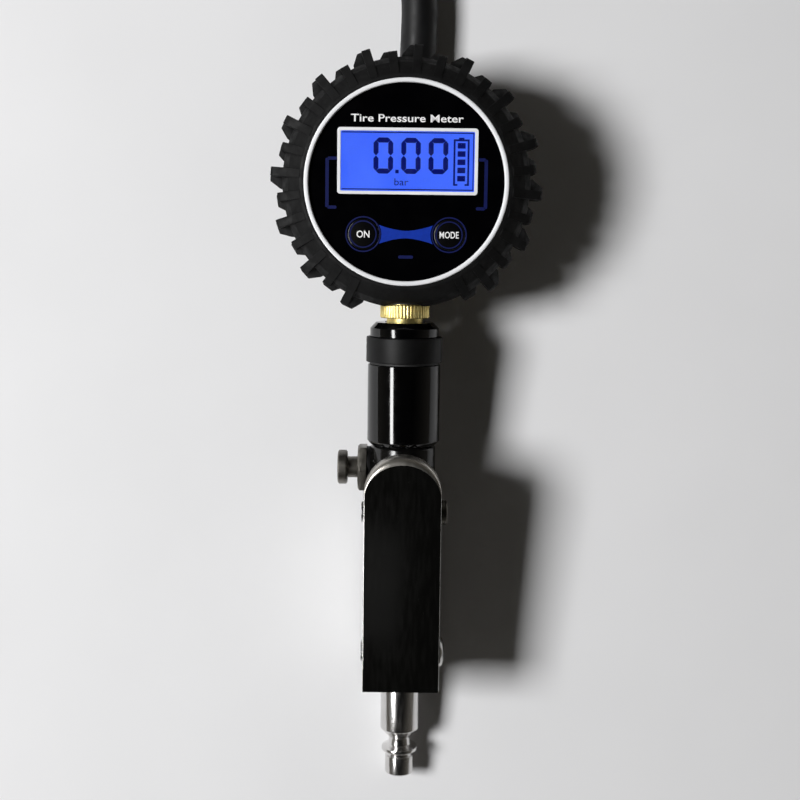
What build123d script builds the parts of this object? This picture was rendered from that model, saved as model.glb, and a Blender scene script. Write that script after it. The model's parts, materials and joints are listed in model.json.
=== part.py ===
from build123d import *
import os
from math import cos, radians, sin

# Digital tyre inflator: a gauge head in a lugged rubber boot, a handle with a squeeze lever and an air hose
# with a tyre chuck. Millimetres. The tool frame has its origin on the handle's axis at the gauge's centre,
# +Y towards the top of the gauge, +Z out of the dial and +X to the right. The tool lies on its back on a
# table with the inlet plug drooping, so tool pieces are tilted about X and lifted before they are written.

# --- How it lies ---------------------------------------------------------------------------------------
TILT = 7.0
AXIS_HEIGHT = 29.8              # of the gauge's centre above the table

# --- Gauge head: stations are radii, or heights z above the handle's axis ------------------------------
CASE_R = 34.0
CASE_WALL = 1.8
CASE_BACK = -9.3
CASE_FRONT = 12.3
RING_R, RING_BORE, RING_FRONT = 33.0, 31.1, 13.6
PLATE_R, PLATE_BACK = 31.5, 11.0
BOOT_R = 40.5                   # floor between the lugs
BOOT_BACK = -10.5
LUGS, LUG_WIDTH = 32, 4.2
LONG_LUG_R, SHORT_LUG_R = 45.0, 42.4
FIRST_LONG_LUG = 18.0           # degrees anticlockwise from the top
PORT_GAP = 20.0                 # degrees each side of the port without lugs
WINDOW = (0.3, 6.8)             # centre of the display
FRAME_SIZE, FRAME_BORDER = (45.1, 21.1), 1.05
BUTTONS = {"on_button": (-13.8, -16.5), "mode_button": (13.95, -16.5)}
BUTTON_R, BUTTON_TRAVEL = 5.0, 0.5
BOARD_BACK, BOARD_FRONT = 4.6, 6.2
BATTERY_R, BATTERY_LENGTH = 5.2, 44.0
BATTERY_ROWS = (2.6, 13.6)
DOOR_SIZE, DOOR_CENTRE_Y = (46.0, 24.0), 8.1
CASE_SCREWS = [(x, y) for x in (-20.0, 20.0) for y in (-18.0, 24.0)]

# --- Handle: stations y along the axis -----------------------------------------------------------------
STEM_R, STEM_BORE = 6.0, 2.5
NUT_R, NUT_TOP, NUT_END, NUT_RIBS = 8.2, -39.5, -44.0, 30
CAP_R, CAP_TOP, CAP_END = 11.5, -45.4, -50.3
COLLAR_R, COLLAR_END = 12.75, -58.7
SEAL_END = -59.4
TUBE_R, TUBE_END = 12.2, -86.6
BODY_R, BODY_END_R, BODY_END = 10.9, 9.3, -166.0
SPIGOT_R, SPIGOT_TOP = 8.5, -78.0
INLET_Z, OUTLET_Z = -3.5, 6.0   # of the two air passages in the valve body

LEVER_TOP, LEVER_END = -87.0, -164.7
LEVER_HALF, LEVER_SHEET = 12.5, 1.2
LEVER_FACE, LEVER_FOOT = 26.0, -4.6
PIVOT = (-157.5, 5.5)           # y, z of the lever's pivot pin
PIVOT_PIN_R = 2.0
LEVER_SWING = 6.2               # degrees
STOP = (-110.1, 1.0)            # y, z of the stop bolt
STOP_R = 2.5

STEM_Y = -128.0                 # of the valve stem that the lever presses
ROD_R = 2.0
RUNNING = 0.06                  # radial clearance of a running fit

RELEASE = (-95.2, -2.0)         # y, z of the release valve
RELEASE_HEX = 14.7
NECK_R = 3.6
PLUG_TIP_R, PLUG_BORE = 4.95, 3.6

# --- Hose and tyre chuck: on the table, x and y from the gauge's centre, z from the table ---------------
HOSE_R = 6.35
FERRULE_R = 7.0
LYING = HOSE_R + 0.05           # height of the hose's line where it lies on the table
HOSE_ROUTE = [
    (0.8, -30.5, 7.15),
    (3.1, 30.0, LYING),
    (4.9, 92.0, LYING),
    (-35.6, 136.2, LYING),
    (-33.5, 196.2, LYING),
    (10.4, 237.1, LYING),
    (70.4, 235.0, LYING),
    (111.3, 191.1, LYING + 0.2),
    (117.7, 145.5, LYING + 1.3),
]
FERRULE_LENGTH = 13.0
ELBOW_Y = -54.4                 # the collar's middle, where the elbow is bolted on
ELBOW_SEAT, ELBOW_FOOT = -12.8, -21.3   # heights z of the elbow's eye
CHUCK_R = 7.4
CHUCK_FERRULE = 15.0
CHUCK_LENGTH = 44.0
VALVE_BORE = 4.0                # takes a tyre valve's mouth
MOUTH_DEPTH = 8.0
CLIP_PIVOT = (30.0, 10.2)       # along the chuck and above its axis
CLIP_SWING = 12.0               # degrees


# --- Helpers -------------------------------------------------------------------------------------------
def turned(points, axis):
    """A solid of revolution from (radius, station) points about the tool's X, Y or Z axis."""
    spread = {
        "x": lambda r, s: (s, r, 0),
        "y": lambda r, s: (r, s, 0),
        "z": lambda r, s: (r, 0, s),
    }[axis]
    face = make_face(Polyline(*[spread(r, s) for r, s in points], close=True))
    return revolve(face, {"x": Axis.X, "y": Axis.Y, "z": Axis.Z}[axis])


def rod(axis, radius, start, end, centre=(0, 0, 0)):
    """A round bar along an axis, from one station to another, with its line through centre."""
    low, high = sorted((start, end))
    return Pos(*centre) * turned([(0, low), (radius, low), (radius, high), (0, high)], axis)


def ring(axis, inner, outer, start, end, centre=(0, 0, 0)):
    """A plain ring along an axis."""
    low, high = sorted((start, end))
    return Pos(*centre) * turned([(inner, low), (outer, low), (outer, high), (inner, high)], axis)


def block(size, low, high, centre=(0, 0), corner=0.0):
    """A plate parallel to the dial between two heights, with its corners rounded."""
    outline = RectangleRounded(*size, corner) if corner else Rectangle(*size)
    return extrude(Pos(centre[0], centre[1], low) * outline, high - low)


def spring(axis_start, direction, length, mean_r, wire_r, turns):
    """A helical spring that starts at a point and runs along a direction."""
    frame = Plane(origin=axis_start, z_dir=direction)
    path = frame * Pos(0, 0, wire_r) * Helix((length - 2 * wire_r) / turns, length - 2 * wire_r, mean_r)
    section = Plane(origin=path @ 0, z_dir=path % 0) * Circle(wire_r)
    return sweep(section, path, is_frenet=True)


# --- Gauge head ----------------------------------------------------------------------------------------
def lug(outer_r):
    """One tread block: it runs from the front shoulder over the tread to the back shoulder."""
    profile = [
        (34.6, 13.1), (39.4, 9.9), (outer_r - 1.9, 7.7), (outer_r, 5.4),
        (outer_r, -5.0), (outer_r - 1.9, -7.2), (39.0, -8.9), (35.2, BOOT_BACK), (34.8, 0),
    ]
    face = make_face(Polyline(*[(0, r, z) for r, z in profile], close=True))
    return extrude(face, LUG_WIDTH / 2, dir=(1, 0, 0), both=True)


def rubber_boot():
    carcass = turned([
        (33.2, 13.0), (34.4, 12.7), (38.4, 9.3), (BOOT_R, 5.9), (BOOT_R, -5.6), (38.4, -8.5),
        (35.0, BOOT_BACK), (31.8, BOOT_BACK), (31.8, CASE_BACK), (CASE_R, CASE_BACK),
        (CASE_R, CASE_FRONT), (33.2, CASE_FRONT),
    ], "z")
    pitch = 360 / LUGS
    for n in range(LUGS):
        turn = (FIRST_LONG_LUG + n * pitch) % 360
        if abs(turn - 180) < PORT_GAP:
            continue
        carcass += Rot(0, 0, turn) * lug(SHORT_LUG_R if n % 2 else LONG_LUG_R)
    return carcass - rod("y", NUT_R + 0.6, -30, -50)


def gauge_case():
    inside = CASE_R - CASE_WALL
    can = turned([
        (0, CASE_BACK), (CASE_R, CASE_BACK), (CASE_R, CASE_FRONT), (PLATE_R, CASE_FRONT),
        (PLATE_R, PLATE_BACK), (PLATE_R - 1.6, PLATE_BACK), (PLATE_R - 1.6, PLATE_BACK - 1.6),
        (inside, PLATE_BACK - 1.6), (inside, CASE_BACK + CASE_WALL), (0, CASE_BACK + CASE_WALL),
    ], "z")
    boss = rod("y", 8.0, -31, -39.2) - rod("z", inside, -20, 20)
    posts = [rod("z", 2.6, CASE_BACK, BOARD_BACK, (x, y, 0)) for x, y in CASE_SCREWS]
    can = can + boss + posts
    can -= rod("y", STEM_R, -20, -45)
    can -= [rod("z", 1.2, CASE_BACK, BOARD_BACK, (x, y, 0)) for x, y in CASE_SCREWS]
    can -= [rod("z", 2.4, CASE_BACK, CASE_BACK + 1.3, (x, y, 0)) for x, y in CASE_SCREWS]
    return can - block(DOOR_SIZE, CASE_BACK - 1, CASE_BACK + CASE_WALL + 1, (0, DOOR_CENTRE_Y), 2.0)


def battery_door():
    lip = 0.15
    plate = block([s - 2 * lip for s in DOOR_SIZE], CASE_BACK, CASE_BACK + CASE_WALL, (0, DOOR_CENTRE_Y), 1.9)
    grip_lines = [block((12, 0.7), CASE_BACK, CASE_BACK + 0.4, (0, DOOR_CENTRE_Y - 6 + 2 * n)) for n in range(4)]
    return plate - grip_lines


def case_screws():
    return [
        turned([(0, 0), (2.3, 0), (2.3, 1.2), (1.2, 1.3), (1.2, 9.5), (0, 9.5)], "z").moved(
            Location((x, y, CASE_BACK)))
        - block((2.8, 0.6), CASE_BACK - 1, CASE_BACK + 0.7, (x, y))
        for x, y in CASE_SCREWS
    ]


def trim_ring():
    return turned([
        (RING_BORE, CASE_FRONT), (RING_R, CASE_FRONT), (RING_R, RING_FRONT - 0.5),
        (RING_R - 0.5, RING_FRONT), (RING_BORE + 0.5, RING_FRONT), (RING_BORE, RING_FRONT - 0.5),
    ], "z")


def face_plate():
    plate = rod("z", PLATE_R, PLATE_BACK, CASE_FRONT)
    plate -= block([s - 1.0 for s in FRAME_SIZE], 0, 20, WINDOW, 0.6)
    return plate - [rod("z", BUTTON_R + 0.2, 0, 20, (x, y, 0)) for x, y in BUTTONS.values()]


def display_frame():
    opening = [s - 2 * FRAME_BORDER for s in FRAME_SIZE]
    flange = block(FRAME_SIZE, CASE_FRONT, CASE_FRONT + 0.3, WINDOW, 1.0)
    sleeve = block([s - 1.0 for s in FRAME_SIZE], PLATE_BACK - 0.1, CASE_FRONT, WINDOW, 0.6)
    return flange + sleeve - block(opening, 0, 20, WINDOW, 0.4)


def window_lens():
    return block([s - 2 * FRAME_BORDER for s in FRAME_SIZE], CASE_FRONT - 0.6, CASE_FRONT, WINDOW, 0.4)


def lcd_panel():
    return block((46.4, 22.6), 9.1, PLATE_BACK - 0.1, WINDOW)


def backlight():
    return block((45.0, 21.0), 6.9, 9.1, WINDOW, 1.0)


def push_button(centre):
    """A captive button: cap through the plate, flange behind it and a plunger over its switch."""
    x, y = centre
    cap = turned([
        (0, 9.0 - 0.3), (1.4, 8.7), (1.4, 9.7), (BUTTON_R + 0.9, 9.7), (BUTTON_R + 0.9, PLATE_BACK - 0.3),
        (BUTTON_R, PLATE_BACK - 0.3), (BUTTON_R, CASE_FRONT + 0.1), (BUTTON_R - 0.3, CASE_FRONT + 0.4),
        (0, CASE_FRONT + 0.4),
    ], "z")
    return Pos(x, y, 0) * cap


def button_switches():
    return [
        block((6.0, 6.0), BOARD_FRONT, 7.6, centre, 0.4) + rod("z", 1.6, 7.6, 8.0, (*centre, 0))
        for centre in BUTTONS.values()
    ]


def circuit_board():
    board = rod("z", 30.0, BOARD_BACK, BOARD_FRONT) - block((80, 20), 0, 20, (0, -32))
    return board - [rod("z", 1.2, 0, 20, (x, y, 0)) for x, y in CASE_SCREWS]


def board_components():
    chip = block((9.0, 9.0), BOARD_BACK - 1.6, BOARD_BACK, (12.0, -12.0))
    crystal = block((8.0, 3.4), BOARD_BACK - 3.0, BOARD_BACK, (-4.0, -12.0), 1.6)
    chokes = [block((2.4, 1.4), BOARD_BACK - 1.0, BOARD_BACK, (-18.0 + 4.5 * n, -8.0)) for n in range(3)]
    return [chip, crystal, *chokes]


def pressure_sensor():
    return rod("y", 4.5, -19.5, -27.5) + rod("y", 2.2, -27.5, -30.0) + block((8.0, 3.0), 0, 4.5, (0, -23.0))


def sensor_leads():
    """Four pins that rise from the sensor past the board's edge and bend over onto it."""
    return [
        block((0.5, 0.5), 4.5, 6.7, (x, -22.4)) + block((0.5, 2.4), BOARD_FRONT, 6.7, (x, -21.45))
        for x in (-3.0, -1.0, 1.0, 3.0)
    ]


def battery_cells():
    half = BATTERY_LENGTH / 2
    return [
        rod("x", BATTERY_R, -half, half - 1.0, (0, y, -2.0)) + rod("x", 1.9, half - 1.0, half, (0, y, -2.0))
        for y in BATTERY_ROWS
    ]


def battery_contacts():
    return [
        extrude(Plane.YZ.offset(side * (BATTERY_LENGTH / 2 + 0.4)) * Pos(y, -2.0) * Rectangle(9.0, 9.0), 0.4, both=True)
        for side in (-1, 1) for y in BATTERY_ROWS
    ]


def gauge_stem():
    return ring("y", STEM_BORE, STEM_R, -30.0, -51.2) + ring("y", STEM_BORE, 7.4, -28.4, -30.0)


# --- Handle --------------------------------------------------------------------------------------------
def lock_nut():
    nut = turned([
        (STEM_R, NUT_TOP), (NUT_R - 0.5, NUT_TOP), (NUT_R, NUT_TOP - 0.5),
        (NUT_R, NUT_END + 0.5), (NUT_R - 0.5, NUT_END), (STEM_R, NUT_END),
    ], "y")
    groove = Pos(NUT_R, 0, 0) * rod("y", 0.34, NUT_TOP + 1, NUT_END - 1)
    return nut - [Rot(0, n * 360 / NUT_RIBS, 0) * groove for n in range(NUT_RIBS)]


def head_cap():
    return turned([
        (STEM_R, CAP_TOP), (CAP_R - 1.9, CAP_TOP), (CAP_R, CAP_TOP - 2.0), (CAP_R, CAP_END), (STEM_R, CAP_END),
    ], "y")


def outlet_collar():
    collar = turned([
        (9.0, CAP_END), (COLLAR_R - 0.5, CAP_END), (COLLAR_R, CAP_END - 0.5),
        (COLLAR_R, COLLAR_END + 0.5), (COLLAR_R - 0.5, COLLAR_END), (9.0, COLLAR_END),
    ], "y")
    seat = block((13.0, 7.4), ELBOW_SEAT, 0, (0, ELBOW_Y)) - rod("y", 9.0, -40, -70)
    return collar + seat - rod("z", 3.6, -5, -20, (0, ELBOW_Y, 0))


def collar_seal():
    return ring("y", 9.0, 11.6, COLLAR_END, SEAL_END)


def grip_tube():
    tube = turned([
        (4.0, -53.0), (9.0, -53.0), (9.0, SEAL_END), (TUBE_R - 0.4, SEAL_END), (TUBE_R, SEAL_END - 0.4),
        (TUBE_R, TUBE_END + 1.4), (TUBE_R - 1.2, TUBE_END), (SPIGOT_R, TUBE_END),
        (SPIGOT_R, SPIGOT_TOP), (4.0, SPIGOT_TOP),
    ], "y")
    return tube - rod("z", 2.6, 0, -20, (0, ELBOW_Y, 0))


def banjo_bolt():
    """The hollow screw that holds the elbow to the collar and lets the air through."""
    tip = ring("z", 1.4, 2.6, -5.2, -12.0)
    shank = ring("z", 1.4, 3.6, -12.0, -18.0) + rod("z", 3.6, -18.0, ELBOW_FOOT)
    head = rod("z", 5.2, ELBOW_FOOT, ELBOW_FOOT - 1.2)
    head -= extrude(Pos(0, 0, ELBOW_FOOT - 2) * RegularPolygon(2.3, 6), 1.8)
    return Pos(0, ELBOW_Y, 0) * (tip + shank + head)


def valve_body():
    body = turned([
        (0, SPIGOT_TOP), (SPIGOT_R, SPIGOT_TOP), (SPIGOT_R, TUBE_END), (BODY_R - 1.0, TUBE_END),
        (BODY_R, TUBE_END - 1.0), (BODY_R, -150.0), (BODY_END_R, -155.0), (BODY_END_R, BODY_END + 0.8),
        (BODY_END_R - 0.8, BODY_END), (0, BODY_END),
    ], "y")
    release_y, release_z = RELEASE
    body += rod("x", 7.5, 0, -10.9, (0, release_y, release_z))
    body += rod("z", 6.4, 0, 11.6, (0, STEM_Y, 0))
    body -= [
        rod("y", 6.4, SPIGOT_TOP + 1, -88.5),                               # outlet chamber
        rod("y", 1.8, -88, STEM_Y, (0, 0, OUTLET_Z)),                       # outlet passage
        rod("y", 3.0, STEM_Y, -160, (0, 0, INLET_Z)),                       # inlet passage
        rod("y", 5.6, -160, BODY_END - 1),                                  # thread for the inlet plug
        rod("z", 5.0, -8.8, 20, (0, STEM_Y, 0)),                            # valve chamber
        rod("x", 4.5, -2.0, -20, (0, release_y, release_z)),                # release chamber
        rod("y", 1.0, -88, release_y, (-3.0, 0, release_z)),
        rod("x", STOP_R, -20, 20, (0, *STOP)),
        rod("x", PIVOT_PIN_R, -20, 20, (0, *PIVOT)),
    ]
    return body


def lever_outline(inset):
    """The lever seen from the front: a straight-cut pivot end and a round free end."""
    half = LEVER_HALF - inset
    end = LEVER_END - (5 if inset else 0)
    shoulder = LEVER_TOP - LEVER_HALF
    lines = [
        Line((half, end), (half, shoulder)),
        CenterArc((0, shoulder), half, 0, 180),
        Line((-half, shoulder), (-half, end)),
        Line((-half, end), (half, end)),
    ]
    return make_face(lines)


def lever():
    """A pressed channel whose sides go down to the pivot pin and over the stop bolt."""
    tall = LEVER_FACE - LEVER_FOOT
    outer = extrude(Pos(0, 0, LEVER_FOOT) * lever_outline(0), tall)
    outer = fillet(outer.faces().sort_by(Axis.Z)[-1].edges(), 2.6)
    inner = extrude(Pos(0, 0, LEVER_FOOT - 1) * lever_outline(LEVER_SHEET), tall + 1 - LEVER_SHEET)
    inner = fillet(inner.faces().sort_by(Axis.Z)[-1].edges(), 1.4)
    underside = [
        (-80, 20.6), (-96, 19.0), (-102.6, 17.6), (-105.0, 13.0), (-105.9, 6.0), (-106.2, -1.6),
        (-108.6, LEVER_FOOT), (-160, LEVER_FOOT), (-164.7, -1.0), (-170, -1.0), (-170, -20), (-80, -20),
    ]
    away = extrude(make_face(Polyline(*[(0, y, z) for y, z in underside], close=True)), 20, dir=(1, 0, 0), both=True)
    stop_y, stop_z = STOP
    rise = (stop_y - PIVOT[0]) * sin(radians(LEVER_SWING))
    slot = [rod("x", STOP_R + 0.3, -20, 20, (0, stop_y, stop_z + z)) for z in (0, rise)]
    slot.append(Pos(0, stop_y, stop_z + rise / 2) * Box(40, 2 * STOP_R + 0.6, rise))
    return outer - inner - away - slot - rod("x", PIVOT_PIN_R + RUNNING, -20, 20, (0, *PIVOT))


def lever_pivot_pin():
    gap = LEVER_HALF + 0.3
    return Pos(0, *PIVOT) * turned([
        (0, -gap - 0.9), (PIVOT_PIN_R, -gap - 0.9), (PIVOT_PIN_R, gap), (5.25, gap), (5.25, gap + 0.5),
        (4.2, gap + 1.5), (2.4, gap + 2.1), (0, gap + 2.2),
    ], "x")


def pivot_pin_clip():
    gap = LEVER_HALF + 0.3
    return Pos(0, *PIVOT) * turned([(PIVOT_PIN_R, -gap - 0.9), (PIVOT_PIN_R, -gap), (3.65, -gap),
                                    (3.65, -gap - 0.6), (3.2, -gap - 0.9)], "x")


def stop_bolt():
    gap = LEVER_HALF + 0.4
    bolt = turned([
        (0, -gap - 0.6), (STOP_R, -gap - 0.6), (STOP_R, gap), (3.8, gap), (4.15, gap + 0.35),
        (4.15, gap + 2.1), (3.8, gap + 2.4), (0, gap + 2.4),
    ], "x")
    socket = extrude(Plane.YZ.offset(gap + 1.0) * RegularPolygon(2.0, 6), 3)
    return Pos(0, *STOP) * (bolt - socket)


def stop_bolt_nut():
    gap = LEVER_HALF + 0.4
    return ring("x", STOP_R, 3.5, -gap - 1.0, -gap, (0, *STOP))


def valve_stem():
    """The rod under the lever: a domed cap, the rod and the foot that carries the valve's rubber."""
    tip = LEVER_FACE - LEVER_SHEET - 0.3
    return Pos(0, STEM_Y, 0) * turned([
        (0, -3.6), (2.7, -3.6), (2.7, -2.9), (1.4, -2.9), (1.4, -1.1), (ROD_R, -1.1), (ROD_R, tip - 2.6),
        (3.4, tip - 2.6), (3.4, tip - 1.2), (2.6, tip - 0.5), (1.4, tip - 0.12), (0, tip),
    ], "z")


def valve_rubber():
    return ring("z", 1.4, 4.2, -2.9, -1.1, (0, STEM_Y, 0))


def valve_seat():
    return ring("z", 2.9, 5.0, -1.0, 0.6, (0, STEM_Y, 0))


def valve_spring():
    return spring((0, STEM_Y, -8.8), (0, 0, 1), 5.1, 3.3, 0.35, 3.5)


def stem_gland():
    thread = ring("z", ROD_R + RUNNING, 5.0, 7.6, 11.6, (0, STEM_Y, 0))
    head = extrude(Pos(0, STEM_Y, 11.6) * RegularPolygon(5.6, 6), 3.2) - rod("z", ROD_R + RUNNING, 0, 20, (0, STEM_Y, 0))
    return thread + head


def stem_seal():
    return ring("z", ROD_R + 0.04, 4.0, 6.2, 7.6, (0, STEM_Y, 0))


def release_valve_body():
    y, z = RELEASE
    shank = ring("x", NECK_R + RUNNING, 4.5, -8.8, -12.3) + ring("x", 1.7, 4.5, -6.0, -8.8)
    head = extrude(Plane.YZ.offset(-15.3) * Rot(0, 0, 90) * RegularPolygon(RELEASE_HEX / 2, 6, major_radius=False), 3.0)
    head = head & turned([(0, -15.3), (7.2, -15.3), (8.6, -14.5), (8.6, -12.3), (0, -12.3)], "x")
    return Pos(0, y, z) * (shank + head - rod("x", NECK_R + RUNNING, -10, -20))


def release_washer():
    return ring("x", 4.5, 7.2, -10.9, -12.3, (0, *RELEASE))


def release_knob():
    """A spool-shaped push knob with a thin rod down to the release valve's rubber."""
    return Pos(0, *RELEASE) * turned([
        (0, -22.1), (4.6, -22.1), (5.1, -21.6), (5.1, -19.6), (4.6, -19.1), (NECK_R, -19.1), (NECK_R, -12.2),
        (1.1, -12.2), (1.1, -4.6), (0, -4.6),
    ], "x")


def release_rubber():
    return ring("x", 1.1, 2.8, -5.8, -4.6, (0, *RELEASE))


def release_spring():
    return spring((-12.2, *RELEASE), (1, 0, 0), 3.3, 2.4, 0.3, 3)


def inlet_plug():
    """A quick-coupling plug: threaded root, round body, neck, locking collar and tip."""
    return turned([
        (PLUG_BORE, -160.4), (5.2, -160.4), (5.6, -161.0), (5.6, -166.6), (6.7, -166.6), (6.7, -186.6),
        (3.9 + 0.9, -188.6), (3.75, -189.4), (3.75, -192.8), (6.2, -193.3), (6.2, -194.6), (4.3, -195.2),
        (4.3, -196.1), (PLUG_TIP_R, -196.5), (PLUG_TIP_R, -202.4), (4.5, -202.9), (PLUG_BORE, -202.9),
    ], "y")


def inlet_seal():
    return ring("y", 5.6, 7.6, BODY_END, -166.6)


# --- Hose and chuck, on the table ----------------------------------------------------------------------
def on_table(shape):
    """Lay a tool piece on its back on the table."""
    return Pos(0, 0, AXIS_HEIGHT) * Rot(TILT, 0, 0) * shape


def along_hose():
    """The frame of the hose's first run, z along it."""
    first, second = Vector(*HOSE_ROUTE[0]), Vector(*HOSE_ROUTE[1])
    return Plane(origin=first, z_dir=second - first)


def hose_elbow():
    """A banjo eye behind the collar with a stub that points along the table."""
    eye = turned([
        (3.6, ELBOW_SEAT), (6.6, ELBOW_SEAT), (6.6, ELBOW_FOOT + 0.6), (6.0, ELBOW_FOOT), (3.6, ELBOW_FOOT),
    ], "z")
    stub = along_hose() * Pos(0, 0, -FERRULE_LENGTH - 6.0) * extrude(Circle(3.5), 6.0)
    core = rod("z", 3.6, -5, ELBOW_FOOT - 1, (0, ELBOW_Y, 0))
    return on_table(Pos(0, ELBOW_Y, 0) * eye) + (stub - on_table(core))


def hose_ferrule():
    sleeve = turned([
        (0, -FERRULE_LENGTH), (5.6, -FERRULE_LENGTH), (FERRULE_R, -FERRULE_LENGTH + 1.2), (FERRULE_R, -9.0),
        (6.6, -8.4), (6.6, -7.4), (FERRULE_R, -6.8), (FERRULE_R, -1.0), (6.6, 0), (0, 0),
    ], "z")
    return along_hose() * sleeve


def hose_radii():
    """Bend radii: each arc takes 0.45 of the shorter of its two runs."""
    points = [Vector(*p) for p in HOSE_ROUTE]
    radii = []
    for a, b, c in zip(points, points[1:], points[2:]):
        half_turn = radians((b - a).get_angle(c - b) / 2)
        radii.append(0.45 * min((b - a).length, (c - b).length) * cos(half_turn) / sin(half_turn))
    return radii


def hose():
    path = FilletPolyline(*HOSE_ROUTE, radius=hose_radii())
    tube = sweep(along_hose() * Circle(HOSE_R), path)
    section = 3.14159265 * HOSE_R**2
    print("hose radii", [round(r) for r in hose_radii()])
    print("hose length", round(path.length, 1), "volume ratio", round(tube.volume / section / path.length, 4))
    return tube


def chuck_frame():
    """The frame at the hose's far end: x along the hose, z up."""
    before, last = Vector(*HOSE_ROUTE[-2]), Vector(*HOSE_ROUTE[-1])
    forward = last - before
    across = Vector(0, 0, 1).cross(forward)
    return Plane(origin=last, x_dir=forward, z_dir=forward.cross(across))


def chuck_ferrule():
    sleeve = turned([
        (0, 0), (6.6, 0), (FERRULE_R, 1.0), (FERRULE_R, 6.2), (6.6, 6.8), (6.6, 7.8), (FERRULE_R, 8.4),
        (FERRULE_R, CHUCK_FERRULE - 1.2), (5.8, CHUCK_FERRULE), (0, CHUCK_FERRULE),
    ], "x")
    return chuck_frame() * sleeve


def chuck_body():
    """The chuck's barrel with two ears for the clip lever's pin and a mouth for the tyre valve."""
    start, end = CHUCK_FERRULE, CHUCK_FERRULE + CHUCK_LENGTH
    pivot_x, pivot_z = CLIP_PIVOT
    barrel = turned([
        (0, start), (5.2, start), (5.2, start + 4), (CHUCK_R, start + 7), (CHUCK_R, end - 1.5),
        (CHUCK_R - 1.2, end), (0, end),
    ], "x")
    ears = [Pos(pivot_x + 3, side * 4.6, 7.4) * Box(12.0, 2.4, 9.6) for side in (-1, 1)]
    ears = [e & rod("y", 8.6, -10, 10, (pivot_x + 3, 0, pivot_z - 4.6)) for e in ears]
    barrel = barrel + ears - rod("x", VALVE_BORE, end - 11.0, end + 1)
    barrel -= rod("x", 5.2, end - 14.0, end - 8.0)
    barrel -= rod("x", 1.6, start - 1, end - 13.0)
    barrel -= Pos(end - 5.5, 0, CHUCK_R - 0.4) * Box(5.0, 3.6, 9.0)
    return chuck_frame() * (barrel - rod("y", 1.5, -20, 20, (pivot_x, 0, pivot_z)))


def chuck_clip_pin():
    pivot_x, pivot_z = CLIP_PIVOT
    return chuck_frame() * rod("y", 1.5, -6.6, 6.6, (pivot_x, 0, pivot_z))


def chuck_lever():
    """The thumb lever: a hub between the ears, a jaw over the mouth's slot and a ribbed thumb pad."""
    pivot_x, pivot_z = CLIP_PIVOT
    outline = [
        (-3.0, -1.6), (-3.4, 1.2), (-14.0, 5.4), (-27.5, 6.2), (-28.2, 7.6), (-14.0, 7.4), (-2.0, 4.2),
        (2.6, 3.2), (16.0, 1.6), (24.6, 0.2), (25.4, -0.8), (25.4, -4.2), (24.0, -4.2), (23.6, -1.9),
        (14.0, -1.7), (3.0, -2.0),
    ]
    face = make_face(Polyline(*[(pivot_x + x, 0, pivot_z + z) for x, z in outline], close=True))
    arm = extrude(face, 3.1, dir=(0, 1, 0), both=True)
    pad = Pos(pivot_x - 21.0, 0, pivot_z + 7.2) * Box(13.5, 11.0, 1.4)
    ribs = [Pos(pivot_x - 26.0 + 2.5 * n, 0, pivot_z + 8.2) * Box(1.0, 10.0, 0.8) for n in range(5)]
    jaw_room = Pos(pivot_x + 24.8, 0, pivot_z - 3.2) * Box(6.0, 10.0, 3.0)
    jaw_room -= Pos(pivot_x + 24.8, 0, pivot_z - 3.2) * Box(6.0, 2.8, 3.0)
    return chuck_frame() * (arm + pad + ribs - jaw_room - rod("y", 1.5 + RUNNING, -20, 20, (pivot_x, 0, pivot_z)))


def chuck_gasket():
    end = CHUCK_FERRULE + CHUCK_LENGTH
    return chuck_frame() * ring("x", 1.5, 5.2, end - 13.5, end - 11.0)


def chuck_depressor():
    end = CHUCK_FERRULE + CHUCK_LENGTH
    return chuck_frame() * (rod("x", 0.9, end - 16.0, end - 9.4) + ring("x", 0.9, 1.6, end - 16.0, end - 14.6))


# --- Assembly ------------------------------------------------------------------------------------------
TOOL_PIECES = [
    rubber_boot, gauge_case, battery_door, case_screws, trim_ring, face_plate, display_frame, window_lens,
    lcd_panel, backlight, button_switches, circuit_board, board_components, pressure_sensor, sensor_leads,
    battery_cells, battery_contacts, gauge_stem, lock_nut, head_cap, outlet_collar, collar_seal, grip_tube,
    banjo_bolt, valve_body, lever, lever_pivot_pin, pivot_pin_clip, stop_bolt, stop_bolt_nut, valve_stem,
    valve_rubber, valve_seat, valve_spring, stem_gland, stem_seal, release_valve_body, release_washer,
    release_knob, release_rubber, release_spring, inlet_plug, inlet_seal,
]
CORD_PIECES = [hose_ferrule, hose, chuck_ferrule, chuck_body, chuck_clip_pin, chuck_lever, chuck_gasket,
               chuck_depressor]


def solids(shape):
    """One compound of the plain solids in a shape or a list of shapes."""
    shapes = shape if isinstance(shape, (list, tuple)) else [shape]
    return Compound(children=[s for item in shapes for s in item.solids()])


nodes = {piece.__name__: on_table(solids(piece())) for piece in TOOL_PIECES}
nodes |= {name: on_table(solids(push_button(centre))) for name, centre in BUTTONS.items()}
nodes["hose_elbow"] = solids(hose_elbow())
boxes = [n.bounding_box() for n in nodes.values()]
low = [min(getattr(b.min, side) for b in boxes) for side in "XYZ"]
high = [max(getattr(b.max, side) for b in boxes) for side in "XYZ"]
SHIFT = Vector(-(low[0] + high[0]) / 2, -(low[1] + high[1]) / 2, -low[2])
nodes |= {piece.__name__: solids(piece()) for piece in CORD_PIECES}

os.makedirs("parts", exist_ok=True)
for name, shape in nodes.items():
    export_step(Pos(*SHIFT) * shape, f"parts/{name}.step")
print(len(nodes), "nodes, shift", [round(v, 3) for v in SHIFT])
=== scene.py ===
import json
from math import asin, cos, pi, radians, sin, tan

import bmesh
import bpy
from mathutils import Matrix, Vector


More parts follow.
